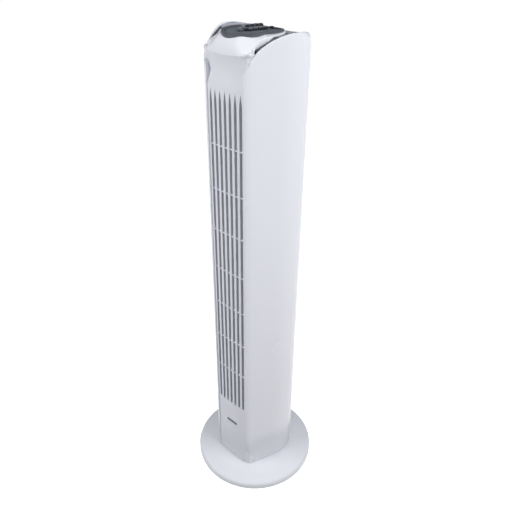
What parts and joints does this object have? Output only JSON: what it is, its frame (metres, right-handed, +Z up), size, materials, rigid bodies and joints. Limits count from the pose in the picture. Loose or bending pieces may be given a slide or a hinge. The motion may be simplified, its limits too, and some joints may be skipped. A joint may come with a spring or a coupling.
{
  "type": "tower fan",
  "caption": "Upright tower fan: slim white column with slotted front grille and top control keys, swinging on a round base, crossflow impeller inside.",
  "frame": {"origin": "centre of the round base, on the floor under its feet", "axes": "+Z up along the column, -Y out of the front grille, +X to the right seen from the front"},
  "size_m": [0.206, 0.206, 0.7388],
  "materials": {
    "white_gloss": "moulded ABS, high gloss",
    "grey_satin": "satin grey lacquer",
    "dark_trim": "moulded ABS, dark grey gloss",
    "silver_key": "satin chrome plate",
    "black_plastic": "moulded, fine matt",
    "white_inner": "moulded, unpolished",
    "slide_plastic": "acetal, turned smooth",
    "rubber": "moulded rubber",
    "steel": "zinc plated",
    "bronze": "sintered bronze",
    "copper": "enamelled copper wire"
  },
  "bodies": {
    "base": {"base_cover": "white_gloss", "base_floor": "black_plastic", "rubber_feet": "rubber", "base_screws": "steel", "ballast_plate": "steel", "pivot_post": "steel", "post_clip": "steel", "slide_ring": "slide_plastic", "swing_track": "slide_plastic"},
    "column": {"bearing_cushion": "rubber", "bezel_ring": "dark_trim", "blank_badge": "dark_trim", "casing_screws": "steel", "control_plate": "grey_satin", "cord_inlet": "black_plastic", "duct_ceiling": "black_plastic", "duct_floor": "black_plastic", "duct_tongue": "black_plastic", "foot_plate": "white_inner", "front_grille": "white_gloss", "head_collar": "dark_trim", "head_cover": "white_gloss", "key_frame": "dark_trim", "key_switch_block": "black_plastic", "left_side_shell": "white_gloss", "motor_bearing_lower": "bronze", "motor_bearing_upper": "bronze", "motor_bell_lower": "steel", "motor_bell_upper": "steel", "motor_capacitor": "black_plastic", "motor_shelf": "white_inner", "rear_housing": "white_gloss", "right_side_shell": "white_gloss", "scroll_wall": "black_plastic", "stator_core": "steel", "stator_windings": "copper", "swing_motor": "black_plastic", "swing_switch": "black_plastic", "swivel_hub": "white_inner", "terminal_block": "white_inner", "timer_unit": "black_plastic", "top_bearing": "bronze"},
    "impeller": {"impeller": "black_plastic", "impeller_bush": "rubber", "top_axle": "steel", "rotor": "steel", "motor_shaft": "steel"},
    "crank": {"swing_crank": "slide_plastic"},
    "knob": {"timer_knob": "silver_key"},
    "key_off": {"key_off": "silver_key"},
    "key_low": {"key_low": "silver_key"},
    "key_medium": {"key_medium": "silver_key"},
    "key_high": {"key_high": "silver_key"},
    "swing_button": {"swing_button": "dark_trim"}
  },
  "joints": [
    {"name": "column_swing", "type": "hinge", "parent": "base", "child": "column", "pos_m": [0, 0, 0.02], "axis": [0, 0, 1], "range_deg": [-30, 30]},
    {"name": "crank_turn", "type": "hinge", "parent": "column", "child": "crank", "pos_m": [0, 0.03, 0.02], "axis": [0, 0, 1], "range_deg": [-101, 101]},
    {"name": "impeller_spin", "type": "hinge", "parent": "column", "child": "impeller", "pos_m": [0, 0.008, 0.14], "axis": [0, 0, 1], "continuous": true},
    {"name": "timer_turn", "type": "hinge", "parent": "column", "child": "knob", "pos_m": [0, -0.0295, 0.735], "axis": [0, 0, 1], "range_deg": [-300, 0]},
    {"name": "key_off_press", "type": "slide", "parent": "column", "child": "key_off", "axis": [0, 0, -1], "range_m": [0, 0.004], "stiffness_N_per_m": 250},
    {"name": "key_low_press", "type": "slide", "parent": "column", "child": "key_low", "axis": [0, 0, -1], "range_m": [0, 0.004], "stiffness_N_per_m": 250},
    {"name": "key_medium_press", "type": "slide", "parent": "column", "child": "key_medium", "axis": [0, 0, -1], "range_m": [0, 0.004], "stiffness_N_per_m": 250},
    {"name": "key_high_press", "type": "slide", "parent": "column", "child": "key_high", "axis": [0, 0, -1], "range_m": [0, 0.004], "stiffness_N_per_m": 250},
    {"name": "swing_button_press", "type": "slide", "parent": "column", "child": "swing_button", "axis": [0, 0, -1], "range_m": [0, 0.002], "stiffness_N_per_m": 250}
  ],
  "couplings": [
    {"joint": "crank_turn", "follows": "column_swing", "ratio": -3.35}
  ]
}
